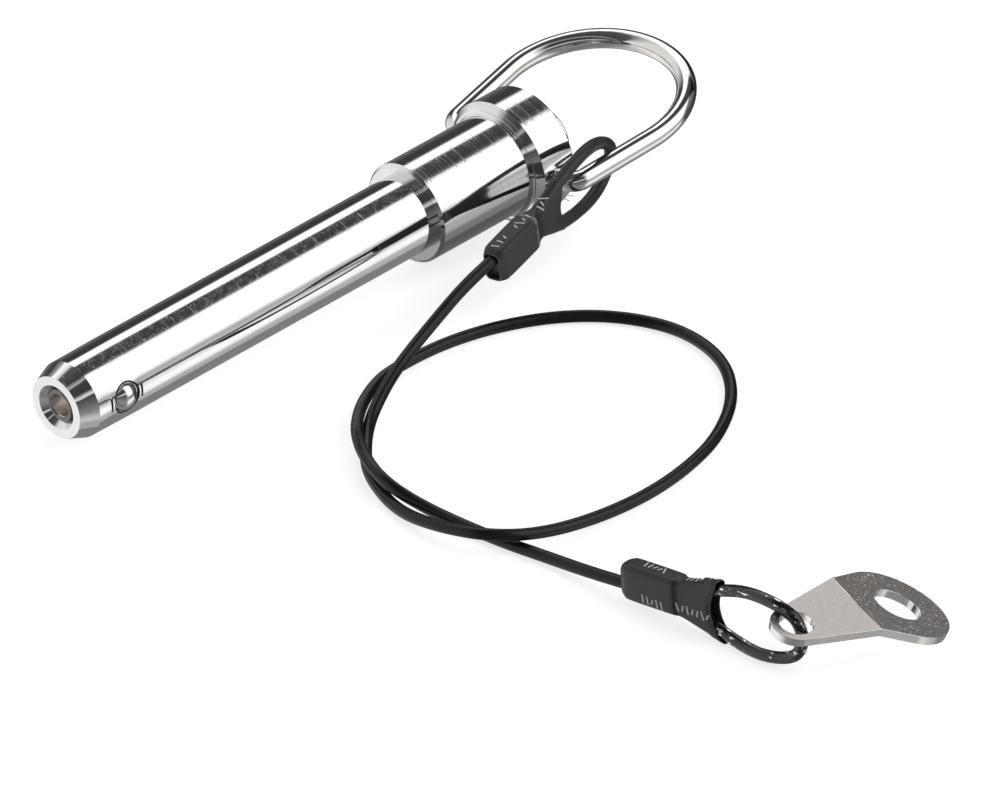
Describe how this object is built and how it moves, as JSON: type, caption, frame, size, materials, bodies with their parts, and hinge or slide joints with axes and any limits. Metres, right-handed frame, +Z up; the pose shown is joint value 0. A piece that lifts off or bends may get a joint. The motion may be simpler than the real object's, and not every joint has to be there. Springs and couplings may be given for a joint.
{
  "type": "ball lock pin",
  "caption": "Quick-release ball lock pin with a push button, a swinging wire ring handle and a coated cable lanyard that ends in a bent mounting tab.",
  "frame": {"origin": "centre of the shoulder face, where the shank leaves the handle, on the pin's axis", "axes": "+Z up from the surface the pin lies on; +X level, from the nose toward the head, with the pin's axis 2.33 degrees nose down from it; the lanyard lies toward -Y"},
  "size_m": [0.1308, 0.153, 0.0203],
  "materials": {
    "polished_steel": "polished, fine turned",
    "ball_steel": "polished",
    "dark_steel": "machined",
    "ferrule_metal": "crimped",
    "sleeve_black": "matte shrink tube",
    "cable_black": "glossy coating over wire rope",
    "tab_steel": "tumbled strip"
  },
  "bodies": {
    "pin": {"shank": "polished_steel", "handle": "polished_steel", "button_clip": "dark_steel", "button_spring": "dark_steel"},
    "button": {"push_button": "polished_steel", "spindle": "dark_steel"},
    "ball_1": {"locking_ball_1": "ball_steel"},
    "ball_2": {"locking_ball_2": "ball_steel"},
    "ring": {"ring_handle": "polished_steel"},
    "lanyard": {"lanyard_cable": "cable_black", "ring_loop": "sleeve_black", "tab_loop": "cable_black", "ferrule_ring_end": "ferrule_metal", "ferrule_tab_end": "ferrule_metal", "shrink_sleeve_ring_end": "sleeve_black", "shrink_sleeve_tab_end": "sleeve_black"},
    "tab": {"tab": "tab_steel"}
  },
  "joints": [
    {"name": "button_slide", "type": "slide", "parent": "pin", "child": "button", "axis": [-0.9992, 0, -0.0407], "range_m": [0, 0.0033], "stiffness_N_per_m": 1500, "springref_m": -0.004, "deforming": ["button_spring"]},
    {"name": "ball_1_slide", "type": "slide", "parent": "pin", "child": "ball_1", "axis": [0.0018, 0.999, -0.0436], "range_m": [0, 0.00102]},
    {"name": "ball_2_slide", "type": "slide", "parent": "pin", "child": "ball_2", "axis": [-0.0018, -0.999, 0.0436], "range_m": [0, 0.00102]},
    {"name": "ring_swing", "type": "hinge", "parent": "pin", "child": "ring", "pos_m": [0.02318, 0, 0.00094], "axis": [0, -1, 0], "range_deg": [-145, 120]},
    {"name": "lanyard_level", "type": "hinge", "parent": "ring", "child": "lanyard", "pos_m": [0.0276, -0.0134, 0.00174], "axis": [0, -1, 0], "range_deg": [-120.5, 145.5], "deforming": ["ring_loop"]},
    {"name": "tab_swing", "type": "hinge", "parent": "lanyard", "child": "tab", "pos_m": [-0.04427, -0.12495, -0.00122], "axis": [0.005, -0.188, 0.9822], "range_deg": [-30, 30]}
  ],
  "couplings": [
    {"joint": "ball_1_slide", "follows": "button_slide", "ratio": 0.30573},
    {"joint": "ball_2_slide", "follows": "button_slide", "ratio": 0.30573},
    {"joint": "lanyard_level", "follows": "ring_swing", "ratio": -1}
  ]
}
